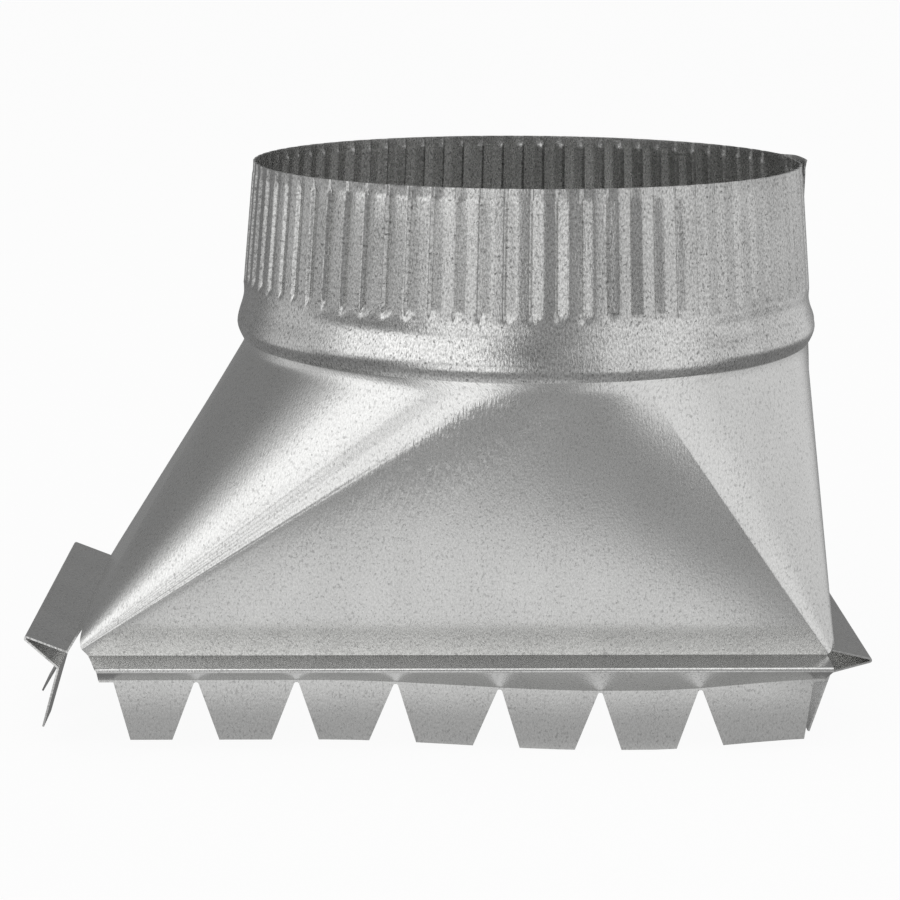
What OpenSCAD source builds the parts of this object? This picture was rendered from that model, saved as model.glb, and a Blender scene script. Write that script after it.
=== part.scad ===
// Side duct takeoff: one folded sheet goes from an oblong base to a round neck, and a crimped
// collar is beaded onto the neck. The origin is the middle of the base, in the plane of the
// bend lines where the walls turn into the stop bead. +Z runs up the collar, +X points to the
// steep wall, and -Y is the front. Lengths are in millimetres.

/* [Sheet] */
// Thickness of the galvanised sheet
sheet_t = 0.5; // [0.4:0.05:0.8]
// Clearance between the collar and the neck inside it
ply_gap = 0.1; // [0.05:0.01:0.2]

/* [Base] */
// Width of the base between the bend lines of its side walls
base_w = 199.5; // [180:0.5:220]
// Depth of the base between its front and back bend lines
base_d = 103.8; // [90:0.2:130]
// Radius of the corner where two walls meet at the base
corner_r = 3; // [2:0.5:6]
// Height of the notch that frees each corner of the base
notch_h = 4.6; // [2:0.1:7]
// Length of wall that the notch takes from the front or back at the sloping side
notch_slope = 5.6; // [4:0.1:8]
// Length of wall that the notch takes from the front or back at the steep side
notch_steep = 2; // [1:0.1:5]
// Length of wall that the notch takes from each side wall
notch_side = 4; // [3:0.1:6]

/* [Stop bead] */
// Distance that the front and back folds stand out from the wall
front_fold_out = 10.4; // [8:0.1:13]
// Drop of the front and back folds below the bend line
front_fold_drop = 1; // [0.2:0.1:3]
// Drop of the front and back tab line below the bend line
front_tab_drop = 7.6; // [6:0.1:9]
// Setback of the front and back tab line behind the wall
front_tab_in = 1; // [0.2:0.1:3]
// Distance that the fold of the sloping side stands out
slope_fold_out = 10.9; // [8:0.1:13]
// Rise of the fold of the sloping side above the bend line
slope_fold_rise = 3.3; // [1:0.1:4]
// Drop of the tab line of the sloping side
slope_tab_drop = 4.7; // [3:0.1:7]
// Distance of the sloping side's tab line beyond its bend line
slope_tab_out = 2.6; // [1:0.1:4]
// Distance that the fold of the steep side stands out
steep_fold_out = 10.2; // [8:0.1:13]
// Drop of the fold of the steep side below the bend line
steep_fold_drop = 2.9; // [1:0.1:4]
// Drop of the tab line of the steep side
steep_tab_drop = 6.4; // [5:0.1:8]
// Setback of the steep side's tab line behind the wall
steep_tab_in = 0.5; // [0.2:0.1:2]
// Outside radius of each folded nose
fold_r = 1; // [0.8:0.1:1.5]

/* [Tabs] */
// Number of tabs along the front and along the back
front_tabs = 7; // [5:1:8]
// Number of tabs along each side wall
side_tabs = 4; // [2:1:4]
// Length of the tabs below their bend line
tab_len = 17.4; // [12:0.2:20]
// Lean of the front and back tabs under the opening, in degrees
front_tab_lean = 17; // [5:1:22]
// Lean of the sloping side's tabs away from the opening, in degrees
slope_tab_lean = 16; // [5:1:22]
// Lean of the steep side's tabs under the opening, in degrees
steep_tab_lean = 15; // [5:1:20]
// Distance from one notch to the next
tab_pitch = 26.1; // [22:0.1:28]
// Width of each notch at the tips of the tabs
tab_notch_w = 12.2; // [8:0.2:14]
// Radius of the notch's rounded top
tab_notch_r = 0.7; // [0.5:0.1:1.2]
// Distance of the notch's top below the tab line
tab_notch_land = 0.6; // [0.3:0.1:2]
// Length of the front and back folds beyond their row of tabs, at the sloping side
row_end_slope = 6.2; // [3:0.1:9]
// Length of the front and back folds beyond their row of tabs, at the steep side
row_end_steep = 4.3; // [2:0.1:7]
// Distance from the base's middle to the middle notches of the front
tab_row_shift = 1.3; // [0:0.1:4]

/* [Round collar] */
// Outside radius of the plain band that a pipe seats on
band_r = 76.2; // [70:0.1:80]
// Distance of the collar's axis from the middle of the base
collar_shift = 20.7; // [14:0.1:26]
// Height of the collar's lower edge above the bend line
collar_z = 76.2; // [60:0.2:95]
// Height of the collar from its lower edge to its rim
collar_h = 46.5; // [40:0.5:60]
// Height of the bead's crest above the lower edge
bead_crest_h = 3.8; // [3:0.1:6]
// Height of the band's lower end above the lower edge
band_low_h = 11.4; // [10:0.1:12]
// Height of the band's upper end, where the crimps start
band_high_h = 14.8; // [14:0.1:18]
// Rise of the bead over the band
bead_rise = 1.9; // [1:0.1:3]
// Flare of the lower edge over the band
edge_flare = 0.6; // [0.3:0.1:0.9]

/* [Crimps] */
// Number of crimps round the rim
crimp_n = 76; // [60:1:84]
// Depth of each crimp
crimp_depth = 0.8; // [0.5:0.1:1.1]
// Distance by which the crimps draw the rim in from the band
rim_draw = 2.9; // [1.8:0.1:5]
// Height of the pressed band along the rim
rim_band_h = 3; // [2:0.1:5]
// Length over which each crimp runs out into the band
crimp_runout = 2.2; // [1:0.1:4]

/* [Seams] */
// Number of crimps that the collar's outer ply covers
lap_crimps = 3; // [2:1:5]
// Distance of the outer ply beyond the crimps' lands
lap_lift = 0.5; // [0.2:0.1:0.6]
// Further distance of the outer ply at the rim, where it flares away
lap_gap = 1.4; // [0.8:0.1:2]
// Height of the part of the outer ply that flares away from the crimps
lap_flare_h = 12; // [8:0.5:20]
// Height of the outer ply's end above the rim
lap_step = 0.3; // [0.1:0.1:1]
// Width of the lap up the steep wall
wall_lap_w = 14; // [8:0.5:15]

/* [Hidden] */

body_colour = [0.66, 0.67, 0.67];
collar_colour = [0.70, 0.71, 0.71];

// Overrun of every cutter, and the length by which one piece of the sheet tucks into the next
overrun = 2;
tuck = 1.2;
// Parts of the sheet's thickness that a tucked end leaves free on each face
tuck_share = 0.24;
// Depths of a strip's tucked root inside the wall, as shares of the sheet's thickness
root_face_share = 0.3;
root_back_share = 0.9;
root_low_share = 0.8;
root_top_share = 0.7;
// Clearance between the neck's bend and the collar's lower edge, and the neck's end in the band
bend_gap = 0.5;
neck_into_band = 1.6;
// Heights over which the walls pass into the neck and the band passes into the crimps
neck_lead = 0.4;
crimp_lead = 0.4;
// Length of the cutter that makes a corner notch
corner_cutter = 26;
// Slants of the two ends of a row of tabs, as shares of a notch's slant
front_end_shares = [0.67, 0.26];
side_end_shares = [0.5, 0.5];
// Steps of the curved parts
flat_n = 4;
cone_n = 14;
bead_n = 5;
nose_n = 5;
notch_n = 6;
lap_n = 6;
// Angles at the neck, from each wall's middle, over which that wall is flat
steep_half = 6;
slope_half = 8;
front_to_slope = 7;
front_to_steep = 20;
// Places along one crimp where its land ends, its groove starts and its groove ends
crimp_shares = [0, 0.46, 0.62, 0.84];
crimp_level_shares = [0, 0, 1, 1];
rim_depth_share = 0.75;
runout_depth_share = 0.8;
// Heights along the seam up the steep wall, as shares of the wall's height
wall_lap_shares = [0.985, 0.66, 0.33, 0.03];
// Place of the outer ply's free edge, in degrees round from the middle of the steep side
lap_free_deg = -2;
// Place of the outer ply's root, as a share of the crimp that it ends on
lap_root_share = 0.35;
// Height above the band over which the outer ply leaves the inner one
lap_rise_h = 7;
// Columns of the outer ply from its free edge to its root, and how far each stands off
lap_shares = [0, 0.2, 0.4, 0.6, 0.78, 0.9, 1];
lap_stand_shares = [1, 1, 0.95, 0.85, 0.65, 0.45, 0];
lap_root_shares = [0, 0, 0, 0, 0, 0, 1];

half_w = base_w / 2;
half_d = base_d / 2;
tuck_t = sheet_t * tuck_share;
rim_r = band_r - rim_draw;
rim_z = collar_z + collar_h;
bend_z = collar_z - bend_gap;
neck_r = band_r + edge_flare - sheet_t - ply_gap;
band_top_z = collar_z + band_high_h;
crimp_start_z = band_top_z + crimp_lead;
crimp_deg = 360 / crimp_n;
lap_root_deg = crimp_deg * (lap_crimps + lap_root_share);

function mix(a, b, f) = a + (b - a) * f;
function reversed(v) = [for (i = [len(v) - 1 : -1 : 0]) v[i]];
function unit(v) = v / norm(v);
function left_of(v) = [-v[1], v[0]];
function polar(r, a, z) = [r * cos(a), r * sin(a), z];

// A closed wall between two stacks of rings, which run round counterclockwise from the top down
module ring_wall(outer, inner) {
    rows = len(outer);
    cols = len(outer[0]);
    first_inner = rows * cols;
    points = concat([for (ring = outer) each ring], [for (ring = inner) each ring]);
    function at(i, j) = i * cols + j % cols;
    sides = [for (i = [0 : rows - 2], j = [0 : cols - 1])
        each let (a = at(i, j), b = at(i, j + 1), c = at(i + 1, j + 1), d = at(i + 1, j))
        [[a, b, c], [a, c, d],
         [first_inner + a, first_inner + c, first_inner + b],
         [first_inner + a, first_inner + d, first_inner + c]]];
    ends = [for (j = [0 : cols - 1])
        each let (a = at(0, j), b = at(0, j + 1), c = at(rows - 1, j), d = at(rows - 1, j + 1))
        [[a, first_inner + a, first_inner + b], [a, first_inner + b, b],
         [c, first_inner + d, first_inner + c], [c, d, first_inner + d]]];
    polyhedron(points = points, faces = concat(sides, ends), convexity = 10);
}

// A closed plate between two grids of points, whose rows run down and whose columns run right
module patch_wall(outer, inner) {
    rows = len(outer);
    cols = len(outer[0]);
    back = rows * cols;
    points = concat([for (row = outer) each row], [for (row = inner) each row]);
    function at(i, j) = i * cols + j;
    faces = [for (i = [0 : rows - 2], j = [0 : cols - 2])
        each let (a = at(i, j), b = at(i, j + 1), c = at(i + 1, j + 1), d = at(i + 1, j))
        [[a, b, c], [a, c, d], [back + a, back + c, back + b], [back + a, back + d, back + c]]];
    down = [for (i = [0 : rows - 2])
        each let (a = at(i, 0), d = at(i + 1, 0), b = at(i, cols - 1), c = at(i + 1, cols - 1))
        [[a, d, back + d], [a, back + d, back + a], [b, back + c, c], [b, back + b, back + c]]];
    across = [for (j = [0 : cols - 2])
        each let (a = at(0, j), b = at(0, j + 1), d = at(rows - 1, j), c = at(rows - 1, j + 1))
        [[a, back + b, b], [a, back + a, back + b], [d, c, back + c], [d, back + c, back + d]]];
    polyhedron(points = points, faces = concat(faces, down, across), convexity = 10);
}

// Path moved sideways by a distance to its left, with mitred corners
function moved_path(path, distance) = [for (i = [0 : len(path) - 1])
    let (before = i == 0 ? unit(path[1] - path[0]) : unit(path[i] - path[i - 1]),
         after = i == len(path) - 1 ? before : unit(path[i + 1] - path[i]),
         n1 = left_of(before),
         n2 = left_of(after))
    path[i] + distance * (n1 + n2) / (1 + n1 * n2)];

// Nose of a fold that stands out to a point: an arc between the tangents from the bend line and
// from the tab line
function nose(tip, bend, tab_line, r, steps) =
    let (centre = tip - [r, 0],
         to_bend = bend - centre,
         to_tabs = tab_line - centre,
         a0 = atan2(to_bend[1], to_bend[0]) - acos(r / norm(to_bend)),
         a1 = atan2(to_tabs[1], to_tabs[0]) + acos(r / norm(to_tabs)),
         start = a0 < 0 ? a0 + 360 : a0,
         finish = a1 > 0 ? a1 - 360 : a1)
    [for (k = [0 : steps]) let (a = mix(start, finish, k / steps)) centre + r * [cos(a), sin(a)]];

// The walls of the transition. A station runs from 0 to 8 round the base: even whole numbers
// start a flat wall, and odd ones start the cone at a corner.
corner_signs = [[1, 1], [-1, 1], [-1, -1], [1, -1]];
function corner_centre(q) = let (s = corner_signs[(q + 4) % 4])
    [s[0] * (half_w - corner_r), s[1] * (half_d - corner_r)];
function base_point(station, inset) =
    let (q = floor(station / 2),
         part = station - 2 * q,
         flat = part < 1,
         r = corner_r - inset,
         a = 90 * q + (flat ? 0 : 90 * (part - 1)),
         middle = flat ? mix(corner_centre(q - 1), corner_centre(q), part) : corner_centre(q))
    middle + r * [cos(a), sin(a)];
function neck_angle(station) = lookup(station, [
    [0, -steep_half], [1, steep_half],
    [2, 90 - front_to_steep], [3, 90 + front_to_slope],
    [4, 180 - slope_half], [5, 180 + slope_half],
    [6, 270 - front_to_slope], [7, 270 + front_to_steep],
    [8, 360 - steep_half]]);
function stations() = [for (side = [0 : 7]) let (n = side % 2 == 0 ? flat_n : cone_n)
    each [for (k = [0 : n - 1]) side + k / n]];
function neck_ring(r, z) = [for (s = stations()) polar(r, neck_angle(s), z) + [collar_shift, 0, 0]];
function base_ring(inset, z) = [for (s = stations()) let (p = base_point(s, inset)) [p[0], p[1], z]];

module walls() {
    ring_wall(
        [neck_ring(neck_r - tuck_t, bend_z + tuck), neck_ring(neck_r, bend_z - neck_lead),
         base_ring(0, -sheet_t / 2)],
        [neck_ring(neck_r - sheet_t + tuck_t, bend_z + tuck), neck_ring(neck_r - sheet_t, bend_z - neck_lead),
         base_ring(sheet_t, -sheet_t / 2)]);
}

// Outer surface of the collar from its lower edge to the band, as [radius, height] pairs
function bead_path() = concat(
    [for (k = [0 : bead_n]) let (f = k / bead_n)
        [band_r + mix(edge_flare, bead_rise, sin(90 * f)), bead_crest_h * f]],
    [for (k = [1 : bead_n]) let (f = k / bead_n)
        [band_r + bead_rise * (1 + cos(180 * f)) / 2, mix(bead_crest_h, band_low_h, f)]]);

module turned_sheet(path) {
    rotate_extrude($fn = 180)
        polygon(concat(path, reversed([for (p = path) p - [sheet_t, 0]])));
}

module neck() {
    inside = sheet_t + ply_gap;
    path = concat(
        [[neck_r, bend_z]],
        [for (p = bead_path()) [p[0] - inside, p[1] + collar_z]],
        [[band_r - inside, collar_z + band_low_h + neck_into_band]]);
    translate([collar_shift, 0, 0]) turned_sheet(path);
}

// Outline of one side's stop bead and tabs, as [distance out, height] pairs. The sheet leaves
// the wall at the bend line, runs out to the fold, comes back to the tab line and turns down.
function bead_outline(fold, tab_line, lean, wall_run) =
    let (tip = tab_line + tab_len * [sin(lean), -cos(lean)],
         face = concat([[0, 0]], nose(fold, [0, 0], tab_line, fold_r, nose_n), [tab_line, tip]),
         back = moved_path(face, -sheet_t),
         t = sheet_t,
         up = tuck * wall_run)
    concat([[up - t * root_face_share, tuck], -t * root_face_share * [1, fold[1] / fold[0]]],
           [for (i = [1 : len(face) - 1]) face[i]],
           reversed(back),
           [-t * [root_back_share, root_low_share], [-t * root_back_share, 0],
            [up - t * root_top_share, tuck]]);

module tab_notch(x, top_z) {
    depth = tab_len * 2;
    slope = atan2(tab_notch_w / 2 - tab_notch_r, tab_len);
    width = tab_notch_r + depth * tan(slope);
    outline = concat(
        [for (k = [0 : notch_n]) let (a = mix(slope, 180 - slope, k / notch_n))
            tab_notch_r * [cos(a), sin(a) - 1]],
        [[-width, -depth], [width, -depth]]);
    translate([x, -half_w, top_z]) rotate([90, 0, 0])
        linear_extrude(height = half_w * 2, center = true) polygon(outline);
}

// One side's stop bead and tabs, with the wall's bend line along X and the outside towards -Y
module side_strip(distance, x0, x1, fold, tab_line, lean, wall_run, notches, ends, end_shares) {
    difference() {
        translate([x1, -distance, 0]) rotate([90, 0, -90])
            linear_extrude(height = x1 - x0)
                polygon(bead_outline(fold, tab_line, lean, wall_run));
        for (x = notches)
            tab_notch(x, tab_line[1] - tab_notch_land);
        for (side = [0, 1])
            tab_end(side == 0 ? x0 : x1, side == 0 ? -1 : 1, ends[side], end_shares[side],
                tab_line[1] - tab_notch_land);
    }
}

// Cuts the outer end of a row of tabs back to a slanted edge
module tab_end(x, side, cut, slant_share, top_z) {
    depth = tab_len * 2;
    slant = slant_share * (tab_notch_w / 2 - tab_notch_r) * depth / tab_len;
    translate([x, -half_w, top_z]) rotate([90, 0, 0])
        linear_extrude(height = half_w * 2, center = true)
            polygon([[side * overrun, 0], [-side * cut, 0], [-side * (cut + slant), -depth],
                     [side * overrun, -depth]]);
}

slope_run = (half_w - (neck_r - collar_shift)) / bend_z;
front_run = (neck_r - half_d) / bend_z;
steep_run = (collar_shift + neck_r - half_w) / bend_z;
function notch_row(tabs, shift) = [for (i = [0 : tabs - 2]) tab_pitch * (i - (tabs - 2) / 2) - shift];
front_notches = notch_row(front_tabs, tab_row_shift);
side_notches = notch_row(side_tabs, 0);

module front_strip(notches) {
    side_strip(half_d, -half_w + notch_slope + sheet_t, half_w - notch_steep - sheet_t,
        [front_fold_out, -front_fold_drop], [-front_tab_in, -front_tab_drop], -front_tab_lean,
        front_run, notches, [row_end_slope, row_end_steep], front_end_shares);
}

module stop_bead() {
    front_strip(front_notches);
    mirror([0, 1, 0]) front_strip(front_notches);
    rotate([0, 0, 90])
        side_strip(half_w, -half_d + notch_side, half_d - notch_side,
            [steep_fold_out, -steep_fold_drop], [-steep_tab_in, -steep_tab_drop], -steep_tab_lean,
            steep_run, side_notches, [0, 0], side_end_shares);
    rotate([0, 0, -90])
        side_strip(half_w, -half_d + notch_side, half_d - notch_side,
            [slope_fold_out, slope_fold_rise], [slope_tab_out, -slope_tab_drop], slope_tab_lean,
            -slope_run, side_notches, [0, 0], side_end_shares);
}

// Notch through the sheet at one corner of the base, between the ends of the two bend lines
module corner_notch(sx, sy, along) {
    a = [sx * (half_w - along), sy * half_d];
    b = [sx * half_w, sy * (half_d - notch_side)];
    span = norm(a - b) + overrun;
    middle = (a + b) / 2;
    turn = atan2(b[1] - a[1], b[0] - a[0]);
    translate([middle[0], middle[1], 0]) rotate([90, 0, turn])
        linear_extrude(height = corner_cutter, center = true)
            polygon([[-span / 2, -overrun], [span / 2, -overrun], [span / 2, 0], [0, notch_h], [-span / 2, 0]]);
}

// Outer face of the steep wall at a distance y from its middle and a share of its height
function steep_wall_x(y, up) =
    let (half_span = mix(half_d - corner_r, neck_r * sin(steep_half), up),
         angle = steep_half * y / half_span)
    mix(half_w, collar_shift + neck_r * cos(angle), up);

module wall_lap() {
    function grid(out) = [for (up = wall_lap_shares) [for (k = [0 : lap_n])
        let (y = mix(-wall_lap_w / 2, wall_lap_w / 2, k / lap_n))
        [steep_wall_x(y, up) + out, y, bend_z * up]]];
    patch_wall(grid(sheet_t), grid(-sheet_t / 2));
}

module transition_body() {
    color(body_colour) union() {
        difference() {
            walls();
            for (sy = [-1, 1]) {
                corner_notch(-1, sy, notch_slope);
                corner_notch(1, sy, notch_steep);
            }
        }
        neck();
        wall_lap();
        stop_bead();
    }
}

// Lands of the crimped part narrow from the band to the rim
function land_r(z) = mix(band_r, rim_r, (z - band_top_z) / (rim_z - band_top_z));

// Distance by which the strip's inner end is drawn in at an angle, to lie under the outer ply
function lap_draw(angle) =
    let (a = angle > 180 ? angle - 360 : angle,
         last_groove = crimp_deg * (lap_crimps - 1 + crimp_shares[3]),
         entry = 1 + (a - lap_free_deg) / crimp_deg,
         exit = (crimp_deg * lap_crimps - a) / (crimp_deg * lap_crimps - last_groove))
    (sheet_t + ply_gap) * max(0, min(1, entry, exit));
function crimp_ring(r, z, depth) = [for (c = [0 : crimp_n - 1], k = [0 : 3])
    let (a = crimp_deg * (c + crimp_shares[k]))
    polar(r - lap_draw(a) - depth * crimp_level_shares[k], a, z)];

module crimps() {
    rows = [[rim_z, land_r(rim_z), rim_depth_share],
            [rim_z - rim_band_h, land_r(rim_z - rim_band_h), 1],
            [band_top_z + crimp_runout, land_r(band_top_z + crimp_runout), runout_depth_share],
            [crimp_start_z, band_r, 0]];
    ring_wall(
        concat([for (row = rows) crimp_ring(row[1], row[0], crimp_depth * row[2])],
               [crimp_ring(band_r - tuck_t, band_top_z - tuck, 0)]),
        concat([for (row = rows) crimp_ring(row[1] - sheet_t, row[0], crimp_depth * row[2])],
               [crimp_ring(band_r - sheet_t + tuck_t, band_top_z - tuck, 0)]));
}

// Distance of the outer ply's face beyond the lands at a height
function lap_lift_at(z) =
    let (rise = min(1, (z - crimp_start_z) / lap_rise_h),
         flare = max(0, (z - rim_z + lap_flare_h) / lap_flare_h))
    lap_lift * rise + lap_gap * flare * flare;

// Outer ply of the collar's lap: it lies on the bead, is flush with the band, stands off the
// crimps by more towards the rim, and goes back into the crimped wall at its root
module collar_lap() {
    function column(j, r, z) = polar(r, mix(lap_free_deg, lap_root_deg, lap_shares[j]), z);
    function high(k, j, inner) =
        let (z = mix(rim_z, crimp_start_z, k / lap_n),
             face = land_r(z) + lap_lift_at(z) * lap_stand_shares[j] - tuck_t * lap_root_shares[j],
             top = k == 0 ? lap_step * lap_stand_shares[j] - tuck_t * lap_root_shares[j] : 0)
        column(j, face - (inner ? sheet_t - 2 * tuck_t * lap_root_shares[j] : 0), z + top);
    function low(p, j, inner) =
        let (sunk = max(0, min(1, (p[1] - bead_crest_h) / (band_low_h - bead_crest_h))),
             out = sheet_t * (1 - sunk) * lap_stand_shares[j] - tuck_t)
        column(j, p[0] + (inner ? tuck_t - sheet_t : out), p[1] + collar_z);
    path = concat([[band_r, band_high_h - tuck]], reversed(bead_path()));
    function grid(inner) = concat(
        [for (k = [0 : lap_n]) [for (j = [0 : lap_n]) high(k, j, inner)]],
        [for (p = path) [for (j = [0 : lap_n]) low(p, j, inner)]]);
    patch_wall(grid(false), grid(true));
}

module crimped_collar() {
    path = concat([for (p = bead_path()) [p[0], p[1] + collar_z]], [[band_r, band_top_z]]);
    color(collar_colour) translate([collar_shift, 0, 0]) union() {
        turned_sheet(path);
        crimps();
        collar_lap();
    }
}

transition_body();
crimped_collar();
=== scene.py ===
"""Dresses a side duct takeoff in galvanised sheet.

The transition body is one folded sheet with a stop bead and dovetail tabs, and the collar is a
rolled strip that is crimped, beaded and lapped. Each is formed here from a flat grid of sheet, on
the place of the solid that it stands for, and gets a spangled zinc finish.
"""
from __future__ import annotations

import logging
import math
import random
from dataclasses import dataclass, field
from enum import Enum
from typing import Callable, Sequence

import bmesh
import bpy
from mathutils import Matrix, Vector


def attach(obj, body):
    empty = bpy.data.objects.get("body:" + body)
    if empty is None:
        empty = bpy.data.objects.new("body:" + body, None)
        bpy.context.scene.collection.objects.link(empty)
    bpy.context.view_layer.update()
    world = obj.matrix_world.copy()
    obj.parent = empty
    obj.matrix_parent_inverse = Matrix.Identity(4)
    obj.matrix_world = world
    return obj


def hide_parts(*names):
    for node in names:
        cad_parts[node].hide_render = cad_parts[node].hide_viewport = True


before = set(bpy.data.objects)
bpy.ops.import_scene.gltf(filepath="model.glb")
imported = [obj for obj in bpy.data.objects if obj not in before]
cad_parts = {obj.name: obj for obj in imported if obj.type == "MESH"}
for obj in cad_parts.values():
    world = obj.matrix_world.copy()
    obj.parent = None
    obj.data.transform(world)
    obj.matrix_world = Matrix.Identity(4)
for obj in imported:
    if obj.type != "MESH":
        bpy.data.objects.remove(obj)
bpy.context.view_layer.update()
MM = 0.001
NEAR = 1e-6
UP = Vector((0.0, 0.0, 1.0))
LOG = logging.getLogger("takeoff")

Sheet = bmesh.types.BMesh
Socket = bpy.types.NodeSocket
Face = bmesh.types.BMFace
Faces = Callable[[], list[Face]]
Place = Callable[[float, float], Vector]
Plane = tuple[Vector, Vector]
Pair = tuple[float, float]
Triple = tuple[float, float, float]
Window = tuple[float, float, float, float]


def mix(a: float, b: float, share: float) -> float:
    """Gives the value a share of the way from a to b."""
    return a + (b - a) * share


def ease(value: float, low: float, high: float) -> float:
    """Rises smoothly from 0 at low to 1 at high."""
    share = min(max((value - low) / (high - low), 0.0), 1.0)
    return share * share * (3.0 - 2.0 * share)


def window(value: float, edges: Window) -> float:
    """Rises smoothly from 0 to 1 between the first two edges and falls back between the last two."""
    start, full, weaken, end = edges
    return ease(value, start, full) - ease(value, weaken, end)


def heading(turn: float) -> Vector:
    """Gives the level direction at an angle in radians, counterclockwise from +X."""
    return Vector((math.cos(turn), math.sin(turn), 0.0))


def spread(start: float, stop: float, count: int) -> list[float]:
    """Gives count evenly spaced values from start up to stop, without stop."""
    return [mix(start, stop, i / count) for i in range(count)]


def form_sheet(columns: Sequence[float], rows: Sequence[float], place: Place, flat: Place) -> Sheet:
    """Forms a flat grid of sheet into a shape.

    Args:
        columns: Value of each column, along the sheet.
        rows: Value of each row, from the lowest up.
        place: Gives the place in metres of a column and a row.
        flat: Gives the place in metres of a column and a row on the flat sheet.

    Returns:
        The formed sheet, whose UV layer holds the flat places.
    """
    bm = bmesh.new()
    across, up = len(columns) - 1, len(rows) - 1
    bmesh.ops.create_grid(bm, x_segments=across, y_segments=up, size=0.5)
    layer = bm.loops.layers.uv.new("sheet")
    at = {v: (columns[round((v.co.x + 0.5) * across)], rows[round((v.co.y + 0.5) * up)]) for v in bm.verts}
    for face in bm.faces:
        for loop in face.loops:
            loop[layer].uv = flat(*at[loop.vert]).xy
    for vert, (column, row) in at.items():
        vert.co = place(column, row)
    return bm


def cut_under(bm: Sheet, faces: Faces, planes: Sequence[Plane]) -> None:
    """Removes the part of some faces that lies under every one of some planes.

    Args:
        bm: The sheet to cut.
        faces: Lists the faces that may be cut, as they are at the time.
        planes: A point and an upward or outward normal for each plane.
    """
    for point, normal in planes:
        chosen = faces()
        geom = [*{v for f in chosen for v in f.verts}, *{e for f in chosen for e in f.edges}, *chosen]
        bmesh.ops.bisect_plane(bm, geom=geom, dist=1e-7, plane_co=point, plane_no=normal)
    waste = [f for f in faces() if all((f.calc_center_median() - p).dot(n) < 0 for p, n in planes)]
    bmesh.ops.delete(bm, geom=waste, context="FACES")


def thicken(name: str, bm: Sheet, thickness: float, sharp_deg: float = 34.0) -> bpy.types.Object:
    """Turns a formed surface into a piece of sheet with its outer face where the surface is.

    Args:
        name: Name of the piece.
        bm: The surface, whose faces point outwards. It is freed.
        thickness: Thickness of the sheet, in metres.
        sharp_deg: Angle past which an edge is drawn sharp.

    Returns:
        The piece, as an object at the origin.
    """
    skin = bpy.data.meshes.new(name + "_skin")
    bm.to_mesh(skin)
    bm.free()
    piece = bpy.data.objects.new(name, skin)
    bpy.context.scene.collection.objects.link(piece)
    wall = piece.modifiers.new("sheet", "SOLIDIFY")
    wall.thickness = thickness
    wall.offset = -1.0
    wall.use_even_offset = True
    wall.thickness_clamp = 0.0
    solid = bpy.data.meshes.new_from_object(piece.evaluated_get(bpy.context.evaluated_depsgraph_get()))
    piece.modifiers.clear()
    piece.data = solid
    solid.name = name
    solid.polygons.foreach_set("use_smooth", [True] * len(solid.polygons))
    solid.set_sharp_from_angle(angle=math.radians(sharp_deg))
    return piece


@dataclass(frozen=True)
class Bead:
    """The bead rolled round the collar and the neck, with sizes in millimetres."""

    band_r: float = 76.2
    edge_flare: float = 0.6
    rise: float = 1.9
    crest_h: float = 3.8
    band_h: float = 11.4
    soft_share: float = 0.55

    def radius(self, height: float) -> float:
        """Gives the collar's outer radius at a height above its lower edge."""
        if height < self.crest_h:
            climb = math.sin(math.pi / 2 * height / self.crest_h)
            return self.band_r + mix(self.edge_flare, self.rise, climb)
        share = min((height - self.crest_h) / (self.band_h - self.crest_h), 1.0)
        curve = (1.0 + math.cos(math.pi * share)) / 2
        return self.band_r + self.rise * mix(1.0 - share, curve, self.soft_share)


@dataclass(frozen=True)
class Crimping:
    """The row of crimps that draws the rim in, with sizes in millimetres.

    The valley, the steep and the gentle flank and the columns are shares of a crimp's pitch. The
    rim band stands rim_step further in, and a crimp loses rim_loss of its depth there. Each crimp's
    foot has a pucker under it and a lip below that, each with its depth, its height above the
    crimp's start and its reach.
    """

    count: int = 76
    depth: float = 0.8
    rim_r: float = 73.3
    runout: float = 2.2
    rim_band: float = 3.0
    rim_step: float = 0.12
    rim_loss: float = 0.5
    rim_fade: Pair = (-0.6, 1.0)
    valley: float = 0.65
    steep: float = 0.12
    gentle: float = 0.42
    gentle_curve: float = 0.25
    column_shares: tuple[float, ...] = (0.04, 0.09, 0.20, 0.34, 0.46, 0.53,
                                        0.56, 0.61, 0.65, 0.68, 0.80, 0.92)
    pucker: Triple = (0.24, 0.5, 0.8)
    lip: Triple = (0.12, -0.9, 0.6)
    pucker_share: float = 0.13
    lip_spread: float = 2.5

    def past_valley(self, turn: float) -> float:
        """Gives how far a share of the pitch lies past the nearest valley, from -0.5 to 0.5."""
        return (turn - self.valley + 0.5) % 1.0 - 0.5

    def level(self, turn: float) -> float:
        """Gives how deep one crimp is, from 0 on its land to 1 in its valley, at a share of its pitch."""
        past = self.past_valley(turn)
        if past < 0.0:
            return ease(past, -self.steep, 0.0)
        if past > self.gentle:
            return 0.0
        return mix(1.0 - past / self.gentle, 1.0 - ease(past, 0.0, self.gentle), self.gentle_curve)

    def foot(self, turn: float, height: float) -> float:
        """Gives the depth of the pucker and lip at a share of the pitch and a height past the start."""
        away = (self.past_valley(turn) / self.pucker_share) ** 2
        deep, high, reach = self.pucker
        pucker = deep * math.exp(-away - ((height - high) / reach) ** 2)
        deep, high, reach = self.lip
        return pucker - deep * math.exp(-away / self.lip_spread - ((height - high) / reach) ** 2)


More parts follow.
